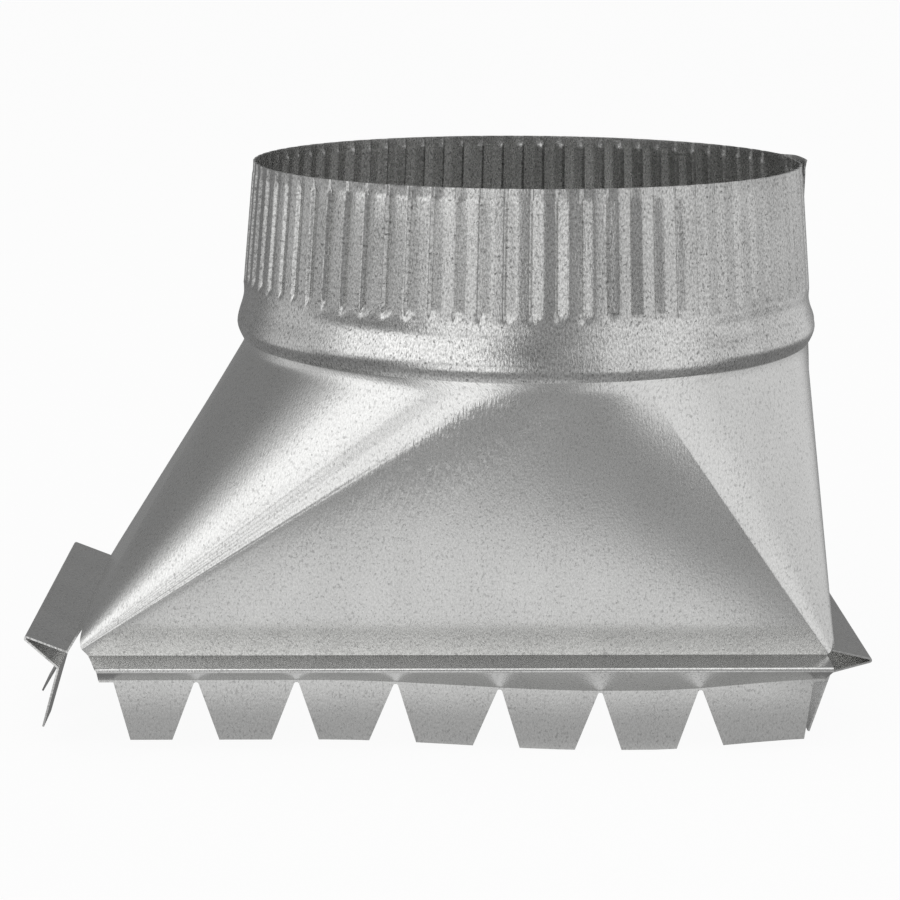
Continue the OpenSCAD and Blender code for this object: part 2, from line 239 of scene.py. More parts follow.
@dataclass
class Collar:
    """The crimped collar: a strip rolled to a ring, with its outer end lapped over the inner one.

    Sizes are in millimetres. The lap's outer end stands off where the share of the lap is below
    lap_stand, and its crimps grow over lap_fade. The rows are denser from runout_rows below and
    above the band's top, and at rim_rows above the foot of the rim band.
    """

    sheet: float = 0.5
    shift: float = 20.7
    low_z: float = 76.2
    height: float = 46.5
    band_top: float = 14.8
    free_deg: float = -2.0
    lap_crimps: float = 3.23
    lap_gap: float = 1.4
    lap_flare: float = 12.0
    lap_step: float = 0.3
    lap_stand: Pair = (0.55, 1.0)
    lap_fade: Pair = (0.92, 1.12)
    lap_rise: float = 0.5
    lap_rise_h: float = 8.0
    lap_air: float = 0.05
    under_air: float = 0.1
    depth_range: Pair = (0.86, 1.12)
    uneven: float = 0.7
    runout_rows: Pair = (-0.8, 3.6)
    rim_rows: tuple[float, ...] = (-0.5, -0.1, 0.3, 0.9)
    bead: Bead = field(default_factory=Bead)
    crimps: Crimping = field(default_factory=Crimping)
    seed: int = 7

    def __post_init__(self) -> None:
        """Draws the small differences from one crimp to the next."""
        rng = random.Random(self.seed)
        count = self.crimps.count
        self.pitch = 360.0 / count
        self.depths = [rng.uniform(*self.depth_range) for _ in range(count)]
        self.ends = [rng.uniform(-self.uneven, self.uneven) / 2 for _ in range(count)]
        self.root_deg = self.pitch * self.lap_crimps

    def columns(self) -> list[float]:
        """Gives the angle of each column, in degrees from the outer free edge to the inner one."""
        lap = spread(self.free_deg, self.root_deg, 14)
        first = math.ceil(self.root_deg / self.pitch)
        last = first + self.crimps.count - 2
        ring = [self.pitch * (c + s) for c in range(first, last) for s in self.crimps.column_shares]
        return lap + [a for a in ring if a > self.root_deg + 0.3] + [self.pitch * last]

    def rows(self) -> list[float]:
        """Gives the height of each row above the lower edge."""
        start, stop = (self.band_top + past for past in self.runout_rows)
        rim = [self.height - self.crimps.rim_band + past for past in self.rim_rows]
        low = spread(0.0, start, 16) + spread(start, stop, 9)
        return low + spread(stop, rim[0], 4) + rim + [self.height - 0.6, self.height]

    def land(self, height: float) -> float:
        """Gives the radius of the lands at a height above the lower edge."""
        if height <= self.band_top:
            return self.bead.radius(height)
        share = (height - self.band_top) / (self.height - self.band_top)
        return mix(self.bead.band_r, self.crimps.rim_r, share)

    def groove(self, angle: float, height: float) -> float:
        """Gives the depth of the crimps at an angle and a height."""
        turn = (angle / self.pitch) % 1.0
        index = int(angle // self.pitch) % self.crimps.count
        start = self.band_top + self.ends[index]
        rise = ease(height, start, start + self.crimps.runout)
        top = self.height - self.crimps.rim_band
        fade = ease(height, *(top + past for past in self.crimps.rim_fade))
        rim = 1.0 - self.crimps.rim_loss * fade
        deep = self.crimps.depth * self.depths[index] * self.crimps.level(turn) * rise * rim
        return deep + self.crimps.foot(turn, height - start)

    def place(self, angle: float, height: float) -> Vector:
        """Gives the place of a column and a row in metres."""
        lap = (angle - self.free_deg) / (self.root_deg - self.free_deg)
        top = self.height - self.crimps.rim_band
        drawn_in = window(height, (top - 0.3, top + 0.2, self.height - 1.2, self.height))
        radius = self.land(height) - self.crimps.rim_step * drawn_in
        stand = 1.0 - ease(lap, *self.lap_stand)
        if stand > 0.0:
            flare = max(0.0, (height - self.height + self.lap_flare) / self.lap_flare)
            over = (self.sheet + self.lap_air) * (1.0 - ease(height, self.bead.crest_h, self.bead.band_h))
            rise = self.lap_rise * ease(height, self.band_top, self.band_top + self.lap_rise_h)
            radius += (over + rise + self.lap_gap * flare * flare) * stand
            height += self.lap_step * ease(height, 0.0, self.height) * stand
        under = ease(angle, 360.0 + self.free_deg - self.pitch, 360.0 + self.free_deg)
        drawn = ease(height, self.bead.crest_h, self.bead.band_h)
        radius -= under * (self.sheet + self.under_air) * drawn
        radius -= self.groove(angle, height) * ease(lap, *self.lap_fade)
        a = math.radians(angle)
        x, y = radius * math.cos(a) + self.shift, radius * math.sin(a)
        return Vector((x, y, height + self.low_z)) * MM

    def flat(self, angle: float, height: float) -> Vector:
        """Gives the place of a column and a row on the flat strip, in metres."""
        return Vector((math.radians(angle) * self.bead.band_r, height, 0.0)) * MM

    def build(self) -> bpy.types.Object:
        """Forms the collar.

        Returns:
            The piece of sheet that stands for the collar's solid.
        """
        bm = form_sheet(self.columns(), self.rows(), self.place, self.flat)
        return thicken("collar_sheet", bm, self.sheet * MM)


class Side(Enum):
    """The four sides of the base, as the angle of each outward direction in degrees."""

    STEEP = 0
    BACK = 90
    SLOPE = 180
    FRONT = 270

    @property
    def out(self) -> Vector:
        """Gives the outward direction."""
        return heading(math.radians(self.value))

    @property
    def along(self) -> Vector:
        """Gives the direction along the side, counterclockwise as seen from above."""
        return Vector((-self.out.y, self.out.x, 0.0))


@dataclass(frozen=True)
class Strip:
    """One side's stop bead and tabs, with sizes in millimetres.

    The fold and tab line are (distance out, height) pairs from the bend line. The ends and notches
    are distances along the side from its middle. The end cuts narrow the first and last tab, whose
    slants are shares of a notch's slant, and the tilts turn the notches, in degrees. The bow drops
    the tab line and moves it out.
    """

    ends: Pair
    fold: Pair
    tab_line: Pair
    lean_deg: float
    notches: tuple[float, ...]
    end_cuts: Pair = (0.0, 0.0)
    end_slants: Pair = (0.5, 0.5)
    notch_tilts: tuple[float, ...] = ()
    bow: float = 0.0
    bow_out: float = 0.0


@dataclass
class Transition:
    """The folded body: walls from an oblong base to a round neck, stop beads and tabs.

    Sizes are in millimetres. The press window and pitch are shares of the corner that the press
    lines lie in, and the neck is drawn in under the collar's lap over lap_window, in degrees. The
    trim is the slope of the front strip's low end, and trim_box is where it may cut. The bow grows
    and weakens over bow_window along the side. The bent tabs lie in bent_span.
    """

    sheet: float = 0.5
    gap: float = 0.1
    width: float = 199.5
    depth: float = 103.8
    corner: float = 2.0
    shift: float = 20.7
    bend_z: float = 75.7
    neck_round: float = 3.0
    press_depth: float = 0.07
    press_window: Window = (0.78, 0.84, 0.97, 1.0)
    press_start: float = 0.80
    press_pitch: float = 0.075
    lap_window: Window = (-8.0, -3.0, 12.0, 17.0)
    neck_step: float = 0.5
    neck_top: float = 13.0
    fold_r: float = 0.7
    tab_len: float = 17.4
    notch_w: float = 13.2
    notch_r: float = 0.7
    notch_land: float = 0.6
    notch_reach: float = 14.0
    end_reach: float = 16.0
    tab_pitch: float = 26.1
    row_shift: float = 1.3
    notch_offsets: tuple[float, ...] = (0.4, 0.3, -0.1, 0.8, 0.9, 0.9)
    notch_tilts: tuple[float, ...] = (-1.8, -1.9, -2.6, -2.1, -0.3, 1.9)
    slope_end: float = -93.7
    steep_end: float = 97.3
    side_end: float = 47.9
    trim: Pair = (0.282, 0.369)
    trim_reach: float = 16.0
    trim_box: Pair = (6.0, -2.0)
    bow_window: Window = (-35.0, 40.0, 50.0, 99.75)
    bow_below: float = 1.5
    bow_depth: float = 12.0
    bent_span: Pair = (-48.0, 26.1)
    bent_deg: float = 14.0
    corner_reach: float = 11.0
    slope_notch_h: float = 7.4
    steep_notch_h: float = 3.4
    lap_half: float = 7.0
    bead: Bead = field(default_factory=Bead)

    def __post_init__(self) -> None:
        """Works out the sizes that follow from the others."""
        self.half_w, self.half_d = self.width / 2, self.depth / 2
        self.neck_r = self.bead.radius(0.0) - self.sheet - self.gap
        even = tuple(self.tab_pitch * (i - 2.5) - self.row_shift for i in range(6))
        front = tuple(x + off for x, off in zip(even, self.notch_offsets))
        back = tuple(-x for x in reversed(even))
        short = (-self.tab_pitch, 0.0, self.tab_pitch)
        ends = (-self.side_end, self.side_end)
        self.strips = {
            Side.FRONT: Strip((self.slope_end, self.steep_end), (10.4, -1.0), (-1.0, -7.0), -9.0, front,
                              end_cuts=(6.2, 3.0), end_slants=(0.67, 0.26),
                              notch_tilts=self.notch_tilts, bow=2.9, bow_out=0.6),
            Side.BACK: Strip((-self.steep_end, -self.slope_end), (10.4, -1.0), (-1.0, -7.0), -9.0, back,
                             end_cuts=(4.3, 6.2), end_slants=(0.26, 0.67)),
            Side.STEEP: Strip(ends, (10.2, -2.9), (-0.5, -6.4), -15.0, short),
            Side.SLOPE: Strip(ends, (10.9, 3.3), (2.6, -4.7), 16.0, short),
        }
        self.neck_angles = {Side.STEEP: (-6.0, 6.0), Side.BACK: (70.0, 97.0), Side.SLOPE: (172.0, 188.0),
                            Side.FRONT: (263.0, 290.0)}

    def reach(self, side: Side) -> float:
        """Gives the distance of a side's bend line from the middle of the base, in millimetres."""
        return self.half_d if side in (Side.FRONT, Side.BACK) else self.half_w

    def base_point(self, station: float) -> Vector:
        """Gives the place round the base, in millimetres, of a station from 0 to 8.

        Whole even numbers start the flat of a side, and odd ones start the corner after it.
        """
        quarter = int(station // 2) % 4
        part = station - 2 * (station // 2)
        signs = ((1, 1), (-1, 1), (-1, -1), (1, -1))
        cx, cy = self.half_w - self.corner, self.half_d - self.corner

        def centre(q: int) -> Vector:
            """Gives the centre of a corner's arc."""
            return Vector((signs[q % 4][0] * cx, signs[q % 4][1] * cy, 0.0))

        if part <= 1.0:
            angle = math.radians(90 * quarter)
            middle = centre(quarter - 1).lerp(centre(quarter), part)
        else:
            angle = math.radians(90 * (quarter + part - 1.0))
            middle = centre(quarter)
        return middle + heading(angle) * self.corner

    def neck_angle(self, station: float) -> float:
        """Gives the angle round the neck of a station, in degrees."""
        order = (*Side, Side.STEEP)
        quarter = int(station // 2)
        part = station - 2 * quarter
        if quarter == 4:
            return 360.0 + self.neck_angles[Side.STEEP][0]
        low, high = self.neck_angles[order[quarter]]
        if part <= 1.0:
            return mix(low, high, part)
        following = self.neck_angles[order[quarter + 1]][0] + (360.0 if quarter == 3 else 0.0)
        return mix(high, following, part - 1.0)

    def stations(self) -> list[float]:
        """Gives the station of each column, with one at each end of every strip."""
        columns: list[float] = []
        for quarter, side in enumerate(Side):
            long = side in (Side.BACK, Side.FRONT)
            reach = (self.half_w if long else self.half_d) - self.corner
            low, high = ((e + reach) / (2 * reach) for e in self.strips[side].ends)
            flat = [0.0] + spread(low, high, 22 if long else 12) + [high]
            columns += [2 * quarter + s for s in flat]
            pressed = side is Side.SLOPE
            turns = spread(0.0, 0.7, 24) + spread(0.7, 1.0, 40) if pressed else spread(0.0, 1.0, 40)
            columns += [2 * quarter + 1 + s for s in turns]
        return columns + [8.0]

    def rows(self) -> list[float]:
        """Gives the height of each row in millimetres, from the bend line to the neck's top."""
        foot, head = 8.0, self.bend_z - 6.0
        wall = spread(0.0, foot, 4) + spread(foot, head, 14) + spread(head, self.bend_z, 6)
        low = self.bend_z + self.neck_step
        return wall + [self.bend_z] + spread(low, low + self.neck_top, 9) + [low + self.neck_top]

    def place(self, station: float, z: float) -> Vector:
        """Gives the place of a column and a row in metres."""
        angle = math.radians(self.neck_angle(station))
        away = heading(angle)
        axis = Vector((self.shift, 0.0, z))
        if z > self.bend_z:
            height = max(z - self.bend_z - self.neck_step, 0.0)
            turn = (math.degrees(angle) + 180.0) % 360.0 - 180.0
            drawn = window(turn, self.lap_window) * ease(height, self.bead.crest_h, self.bead.band_h)
            radius = self.bead.radius(height) - (self.sheet + self.gap) * (1.0 + drawn)
            return (axis + away * radius) * MM
        neck = axis + away * self.neck_r
        base = self.base_point(station)
        drop, round_off = self.bend_z - z, self.neck_round
        full = self.bend_z - round_off / 2
        run = drop * drop / (2 * round_off) if drop < round_off else drop - round_off / 2
        share = run / full
        point = Vector((mix(neck.x, base.x, share), mix(neck.y, base.y, share), z))
        return (point + away * self.press_line(station) * math.sin(math.pi * share)) * MM

    def press_line(self, station: float) -> float:
        """Gives how far the press's light lines beside the front panel stand out, in millimetres."""
        part = station - 5.0
        wave = math.sin(math.tau * (part - self.press_start) / self.press_pitch)
        return self.press_depth * window(part, self.press_window) * wave

    def unroll(self, columns: Sequence[float]) -> None:
        """Lays each column's straight line out on the flat sheet, from one column to the next.

        Args:
            columns: The station of each column.
        """
        def line(station: float) -> tuple[Vector, Vector]:
            """Gives the ends of a column's straight line on the formed wall."""
            return self.place(station, 0.0) / MM, self.place(station, self.bend_z - self.neck_round) / MM

        def apex(a: Vector, b: Vector, from_a: float, from_b: float) -> Vector:
            """Gives the point at two distances from a and b, to the right of the line from a to b."""
            span = (b - a).length
            along = (from_a ** 2 - from_b ** 2 + span ** 2) / (2 * span)
            across = math.sqrt(max(from_a ** 2 - along ** 2, 0.0))
            way = (b - a) / span
            return a + way * along + Vector((way.y, -way.x)) * across

        foot, head = line(columns[0])
        laid = [(Vector((0.0, 0.0)), Vector((0.0, (head - foot).length)))]
        for station in columns[1:]:
            low, high = laid[-1]
            next_foot, next_head = line(station)
            new_head = apex(low, high, (next_head - foot).length, (next_head - head).length)
            new_foot = apex(low, new_head, (next_foot - foot).length, (next_foot - next_head).length)
            laid.append((new_foot, new_head))
            foot, head = next_foot, next_head
        front = laid[columns.index(7.0)][0] - laid[columns.index(6.0)][0]
        turn = Matrix.Rotation(-math.atan2(front.y, front.x), 2)
        self.laid = {c: (turn @ a, turn @ b) for c, (a, b) in zip(columns, laid)}

    def flat(self, station: float, z: float) -> Vector:
        """Gives the place of a column and a row on the flat sheet, in metres."""
        low, high = self.laid[station]
        return low.lerp(high, z / (self.bend_z - self.neck_round)).to_3d() * MM

    def profile(self, strip: Strip) -> list[Pair]:
        """Gives the outline of a strip below its bend line.

        Args:
            strip: The side's sizes.

        Returns:
            The (distance out, height) pairs after the bend line: the fold's nose, the tab line
            and the rows of the tabs.
        """
        r = self.fold_r
        cx, cz = strip.fold[0] - r, strip.fold[1]
        to_bend = Vector((-cx, -cz))
        to_tabs = Vector((strip.tab_line[0] - cx, strip.tab_line[1] - cz))
        start = math.atan2(to_bend.y, to_bend.x) - math.acos(r / to_bend.length)
        finish = math.atan2(to_tabs.y, to_tabs.x) + math.acos(r / to_tabs.length)
        start += math.tau if start < 0 else 0.0
        finish -= math.tau if finish > 0 else 0.0
        turns = spread(start, finish, 7) + [finish]
        nose = [(cx + r * math.cos(a), cz + r * math.sin(a)) for a in turns]
        lean = math.radians(strip.lean_deg)
        o, z = strip.tab_line
        lengths = [self.tab_len * share for share in (0.25, 0.5, 1.0)]
        tabs = [(o + length * math.sin(lean), z - length * math.cos(lean)) for length in lengths]
        half = [(mix(nose[-1][0], o, 0.5), mix(nose[-1][1], z, 0.5))]
        return nose + half + [strip.tab_line] + tabs

    def cut_corner(self, bm: Sheet, first: Vector, second: Vector, height: float) -> None:
        """Cuts the notch that frees one corner of the base, between the ends of two strips.

        Args:
            bm: The folded sheet.
            first: End of one strip's bend line, in millimetres.
            second: End of the next strip's bend line.
            height: Height of the notch, in millimetres.
        """
        a, b = first * MM, second * MM
        apex = (a + b) / 2 + UP * height * MM
        through = Vector((-(b - a).y, (b - a).x, 0.0)).normalized()
        cuts = []
        for foot, other in ((a, b), (b, a)):
            normal = through.cross(apex - foot).normalized()
            cuts.append((foot, normal if normal.dot(other - foot) < 0 else -normal))
        middle, reach = (a + b) / 2, self.corner_reach * MM
        tag = bm.faces.layers.int["strip"]

        def near() -> list[Face]:
            """Lists the faces of the walls near the corner."""
            return [f for f in bm.faces if f[tag] < 0 and (f.calc_center_median() - middle).length < reach]

        cut_under(bm, near, cuts)

    def lap(self) -> Sheet:
        """Forms the outer ply of the lap up the steep wall.

        Returns:
            The ply, whose free edge stands one sheet off the wall and whose root lies in it.
        """
        half, low, high = self.lap_half, 2.3, self.bend_z - 1.1
        steep = self.neck_angles[Side.STEEP][1]
        columns = spread(-half, half, 12) + [half]
        rows = spread(low, high, 20) + [high]

        def place(y: float, z: float) -> Vector:
            """Gives the place of a point of the ply in metres."""
            up = z / self.bend_z
            span = mix(self.half_d - self.corner, self.neck_r * math.sin(math.radians(steep)), up)
            neck = self.shift + self.neck_r * math.cos(math.radians(steep * y / span))
            lift = self.sheet * (1.02 - 1.5 * ease(y, half - 3.0, half))
            return Vector((mix(self.half_w, neck, up) + lift, y, z)) * MM

        return form_sheet(columns, rows, place, lambda y, z: Vector((y, z, 0.0)) * MM)

    def build(self) -> bpy.types.Object:
        """Forms the walls, folds and cuts the strips, and adds the lap.

        Returns:
            The piece of sheet that stands for the body's solid.
        """
        columns = self.stations()
        self.unroll(columns)
        bm = form_sheet(columns, self.rows(), self.place, self.flat)
        bmesh.ops.remove_doubles(bm, verts=bm.verts, dist=NEAR)
        tag = bm.faces.layers.int.new("strip")
        for face in bm.faces:
            face[tag] = -1
        rows = {side: StripWork(self, bm, side) for side in Side}
        for row in rows.values():
            row.fold()
        for row in rows.values():
            row.cut_row()
        rows[Side.FRONT].trim_end()
        rows[Side.FRONT].bow()
        rows[Side.SLOPE].bend_tabs()
        corners = ((self.slope_end, -self.half_w, self.slope_notch_h),
                   (self.steep_end, self.half_w, self.steep_notch_h))
        for way in (-1, 1):
            for end, wall, height in corners:
                self.cut_corner(bm, Vector((end, way * self.half_d, 0.0)),
                                Vector((wall, way * self.side_end, 0.0)), height)
        bmesh.ops.recalc_face_normals(bm, faces=bm.faces)
        if sum(f.normal.dot(f.calc_center_median().xy.to_3d()) for f in bm.faces if f[tag] < 0) < 0:
            bmesh.ops.reverse_faces(bm, faces=bm.faces)
        lap_mesh = bpy.data.meshes.new("lap")
        lap = self.lap()
        lap.to_mesh(lap_mesh)
        lap.free()
        bm.from_mesh(lap_mesh)
        return thicken("body_sheet", bm, self.sheet * MM)


class StripWork:
    """Folds, cuts and bends the stop bead and the tabs along one side of the base."""

    def __init__(self, body: Transition, bm: Sheet, side: Side) -> None:
        """Keeps the sheet, and works out where the side lies."""
        self.body, self.bm, self.strip = body, bm, body.strips[side]
        self.out, self.along, self.reach = side.out, side.along, body.reach(side) * MM
        self.layer, self.mark = bm.faces.layers.int["strip"], side.value + 1

    def on_bend(self, vert: bmesh.types.BMVert) -> bool:
        """Tells whether a vertex lies on the side's bend line, between the strip's ends."""
        low, high = (e * MM for e in self.strip.ends)
        return (abs(vert.co.z) < NEAR and abs(vert.co.dot(self.out) - self.reach) < NEAR
                and low - NEAR < vert.co.dot(self.along) < high + NEAR)

    def fold(self) -> None:
        """Folds the stop bead and the tabs out of the wall's lower edge."""
        bm, along = self.bm, self.along
        uv = bm.loops.layers.uv["sheet"]
        edges = [e for e in bm.edges if e.is_boundary and all(self.on_bend(v) for v in e.verts)]
        last, length = (0.0, 0.0), 0.0
        profile = self.body.profile(self.strip)
        for step, point in enumerate(profile):
            made = bmesh.ops.extrude_edge_only(bm, edges=edges)["geom"]
            edges = [g for g in made if isinstance(g, bmesh.types.BMEdge) and g.is_boundary
                     and all(v in made for v in g.verts)
                     and abs((g.verts[0].co - g.verts[1].co).dot(along)) > 1e-5]
            fresh = {g for g in made if isinstance(g, bmesh.types.BMVert)}
            delta = (self.out * (point[0] - last[0]) + UP * (point[1] - last[1])) * MM
            for vert in fresh:
                vert.co += delta
            run = math.hypot(point[0] - last[0], point[1] - last[1]) * MM
            for face in (g for g in made if isinstance(g, Face)):
                face[self.layer] = self.mark if step >= len(profile) - 3 else 0
                for loop in face.loops:
                    sunk = length + (run if loop.vert in fresh else 0.0)
                    loop[uv].uv = (loop.vert.co.dot(along), -sunk)
            last, length = point, length + run

    def cut_tabs(self, cuts: list[Plane], middle: float, reach: float) -> None:
        """Removes the part of the tabs that lies under every one of some planes.

        Args:
            cuts: A point and an upward or outward normal for each plane.
            middle: Middle of the stretch that may be cut, in millimetres along the side.
            reach: Half the length of that stretch.
        """
        def tabs() -> list[Face]:
            """Lists the faces of the tabs in the stretch."""
            return [f for f in self.bm.faces if f[self.layer] == self.mark
                    and abs(f.calc_center_median().dot(self.along) - middle * MM) < reach * MM]

        cut_under(self.bm, tabs, cuts)

    def cut_row(self) -> None:
        """Cuts the V notches and the slanted ends of the row of tabs."""
        body, strip, along, r = self.body, self.strip, self.along, self.body.notch_r
        top = strip.tab_line[1] - body.notch_land
        slant = math.atan2(body.notch_w / 2 - r, body.tab_len)
        tilts = strip.notch_tilts or (0.0,) * len(strip.notches)
        for x, tilt in zip(strip.notches, tilts):
            cuts = []
            for spoke in (slant, math.pi / 4, math.pi / 2, 3 * math.pi / 4, math.pi - slant):
                angle = spoke + math.radians(tilt)
                normal = along * math.cos(angle) + UP * math.sin(angle)
                cuts.append(((along * x + UP * (top - r)) * MM + normal * r * MM, normal))
            self.cut_tabs(cuts, x, body.notch_reach)
        for sign, end, cut, share in zip((-1, 1), strip.ends, strip.end_cuts, strip.end_slants):
            edge, tilt = end - sign * cut, slant * share
            normal = along * -sign * math.cos(tilt) + UP * math.sin(tilt)
            cuts = [((along * edge + UP * top) * MM, normal), (UP * top * MM, UP)]
            self.cut_tabs(cuts, end, body.end_reach)

    def trim_end(self) -> None:
        """Trims the low end of the strip along a slanted plane through its bend line's end."""
        out, along, body = self.out, self.along, self.body
        foot = out * self.reach + along * self.strip.ends[0] * MM
        normal = along - out * body.trim[0] + UP * body.trim[1]
        past, inner = (limit * MM for limit in body.trim_box)

        def near() -> list[Face]:
            """Lists the faces of the strips near the end."""
            ways = ((f, f.calc_center_median() - foot) for f in self.bm.faces if f[self.layer] >= 0)
            return [f for f, way in ways if way.length < body.trim_reach * MM
                    and way.dot(along) < past and way.dot(out) > inner]

        cut_under(self.bm, near, [(foot, normal)])

    def bow(self) -> None:
        """Bows the tab line and the tabs, most past the middle of the side."""
        body, strip, out = self.body, self.strip, self.out
        inner = self.reach - body.bow_depth * MM
        for vert in self.bm.verts:
            place = vert.co.dot(self.along) / MM
            walled = any(f[self.layer] < 0 for f in vert.link_faces)
            if walled or vert.co.dot(out) < inner or abs(place) > body.half_w:
                continue
            low = ease(-vert.co.z / MM, body.bow_below, -strip.tab_line[1])
            share = window(place, body.bow_window) * low
            vert.co.z -= strip.bow * share * MM
            vert.co += out * strip.bow_out * share * MM

    def bend_tabs(self) -> None:
        """Bends some tabs out from their row, about the tab line."""
        body, strip = self.body, self.strip
        low, high = (end * MM for end in body.bent_span)
        hinge = self.out * (self.reach + strip.tab_line[0] * MM)
        hinge.z = (strip.tab_line[1] - body.notch_land) * MM
        tabs = {v for f in self.bm.faces if f[self.layer] == self.mark for v in f.verts
                if low < v.co.dot(self.along) < high and v.co.z < hinge.z}
        turn = Matrix.Rotation(math.radians(body.bent_deg), 3, -self.along)
        bmesh.ops.rotate(self.bm, verts=list(tabs), cent=hinge, matrix=turn)


class Tree:
    """Adds and links shader nodes in one tree."""

    def __init__(self, tree: bpy.types.NodeTree) -> None:
        """Keeps the tree whose nodes are added."""
        self.nodes, self.links = tree.nodes, tree.links

    def feed(self, socket: Socket, value: object) -> None:
        """Links a socket to a source, or sets it to a constant."""
        if isinstance(value, Socket):
            self.links.new(value, socket)
        else:
            socket.default_value = value

    def add(self, kind: str, inputs: dict[str | int, object], out: str | int = 0,
            **settings: object) -> Socket:
        """Adds a node.

        Args:
            kind: The node's type.
            inputs: A source or a constant for each input that isn't left alone.
            out: The output to return.
            settings: Values of the node's own properties.

        Returns:
            The chosen output of the node.
        """
        node = self.nodes.new(kind)
        for name, value in settings.items():
            setattr(node, name, value)
        for name, value in inputs.items():
            self.feed(node.inputs[name], value)
        return node.outputs[out]

    def maths(self, kind: str, *values: object) -> Socket:
        """Adds a sum on some values, each a source or a constant."""
        return self.add("ShaderNodeMath", dict(enumerate(values)), operation=kind)

    def times(self, *values: object) -> Socket:
        """Multiplies two values, each a source or a constant."""
        return self.maths("MULTIPLY", *values)

    def parts(self, vector: Socket) -> list[Socket]:
        """Gives the x, y and z of a vector."""
        node = self.nodes.new("ShaderNodeSeparateXYZ")
        self.feed(node.inputs[0], vector)
        return list(node.outputs)

    def ramp(self, value: object, low: float, high: float, start: object = 0.0,
             stop: float = 1.0) -> Socket:
        """Maps a value smoothly from the range low to high onto the range start to stop."""
        ends = {"Value": value, "From Min": low, "From Max": high, "To Min": start, "To Max": stop}
        return self.add("ShaderNodeMapRange", ends, interpolation_type="SMOOTHSTEP")

    def window(self, value: object, edges: Window) -> Socket:
        """Rises smoothly from 0 to 1 between the first two edges and falls back between the last two."""
        start, full, weaken, end = edges
        return self.times(self.ramp(value, start, full), self.ramp(value, weaken, end, 1.0, 0.0))


def new_group(name: str, inputs: dict[str, str], outputs: dict[str, str]) -> bpy.types.NodeTree:
    """Makes a node group with named sockets.

    Args:
        name: Name of the group.
        inputs: The type of each input, by name.
        outputs: The type of each output, by name.

    Returns:
        The group, which has an input and an output node.
    """
    group = bpy.data.node_groups.new(name, "ShaderNodeTree")
    for way, sockets in (("INPUT", inputs), ("OUTPUT", outputs)):
        for label, kind in sockets.items():
            group.interface.new_socket(label, in_out=way, socket_type="NodeSocket" + kind)
    group.nodes.new("NodeGroupInput")
    group.nodes.new("NodeGroupOutput")
    return group


def zinc_group() -> bpy.types.NodeTree:
    """Builds, once, the pattern of a zinc coat on rolled sheet.

    Returns:
        A node group from a place on the flat sheet to a tone, a roughness and a height.
    """
    if "zinc_coat" in bpy.data.node_groups:
        return bpy.data.node_groups["zinc_coat"]
    strengths = dict.fromkeys(("Flecks", "Mottle", "Roughness"), "Float")
    group = new_group("zinc_coat", {"Place": "Vector", **strengths},
                      dict.fromkeys(("Tone", "Roughness", "Height"), "Float"))
    tree = Tree(group)
    given, result = group.nodes["Group Input"].outputs, group.nodes["Group Output"].inputs

    def grain(across: float, along: float, detail: float, low: float, high: float) -> Socket:
        """Adds a noise with its own scale across and along the rolling, cut to a mask."""
        scale = (across, along, 1.0)
        place = tree.add("ShaderNodeVectorMath", {0: given["Place"], 1: scale}, operation="MULTIPLY")
        noise = tree.add("ShaderNodeTexNoise", {"Vector": place, "Scale": 1.0, "Detail": detail})
        return tree.ramp(noise, low, high)

    flecks = tree.times(grain(1500.0, 760.0, 3.0, 0.54, 0.66), grain(140.0, 90.0, 2.0, 0.20, 0.70))
    dots = grain(1100.0, 1000.0, 2.0, 0.60, 0.70)
    fine = grain(2500.0, 1300.0, 3.0, 0.30, 0.70)
    streaks = grain(1500.0, 330.0, 2.0, 0.30, 0.70)
    clouds = grain(75.0, 45.0, 3.0, 0.30, 0.70)
    dark = tree.times(tree.maths("MAXIMUM", flecks, dots), given["Flecks"])
    mottle = tree.maths("ADD", tree.times(fine, 0.8), tree.times(clouds, 0.2))
    soft = tree.times(mottle, given["Mottle"])
    tree.feed(result["Tone"], tree.maths("SUBTRACT", tree.maths("SUBTRACT", 1.0, dark), soft))
    tree.feed(result["Roughness"], tree.maths("MULTIPLY_ADD", dark, 0.4, given["Roughness"]))
    tree.feed(result["Height"], tree.maths("MULTIPLY_ADD", streaks, 0.8, fine))
    return group


@dataclass(frozen=True)
class Rubs:
    """Short upright rubs on the front panel, where the press drew the sheet over its edge.

    They lie beside the line x = slope * z + foot. The windows and the front, where they fade out
    in y, are in metres, and so is their depth.
    """

    depth: float = 0.00030
    slope: float = 1.24
    foot: float = -0.088
    beside: Window = (0.000, 0.008, 0.020, 0.044)
    height: Window = (0.022, 0.060, 0.0690, 0.0735)
    front: Pair = (-0.035, -0.030)
    scale: Triple = (1400.0, 0.0, 260.0)

    def add(self, tree: Tree, bump: Socket) -> Socket:
        """Adds the rubs to a material.

        Args:
            tree: The material's nodes.
            bump: The normal that the rubs are laid over.

        Returns:
            The socket with the normal.
        """
        place = tree.add("ShaderNodeTexCoord", {}, "Object")
        x, y, z = tree.parts(place)
        past = tree.maths("SUBTRACT", x, tree.maths("MULTIPLY_ADD", z, self.slope, self.foot))
        band = tree.times(tree.window(past, self.beside), tree.window(z, self.height))
        front = tree.times(tree.ramp(y, *self.front, 1.0, 0.0), band)
        line = tree.add("ShaderNodeVectorMath", {0: place, 1: self.scale}, operation="MULTIPLY")
        rubs = tree.add("ShaderNodeTexNoise", {"Vector": line, "Scale": 1.0, "Detail": 2.0})
        return tree.add("ShaderNodeBump", {"Strength": 1.0, "Distance": self.depth, "Normal": bump,
                                           "Height": tree.times(front, rubs)})


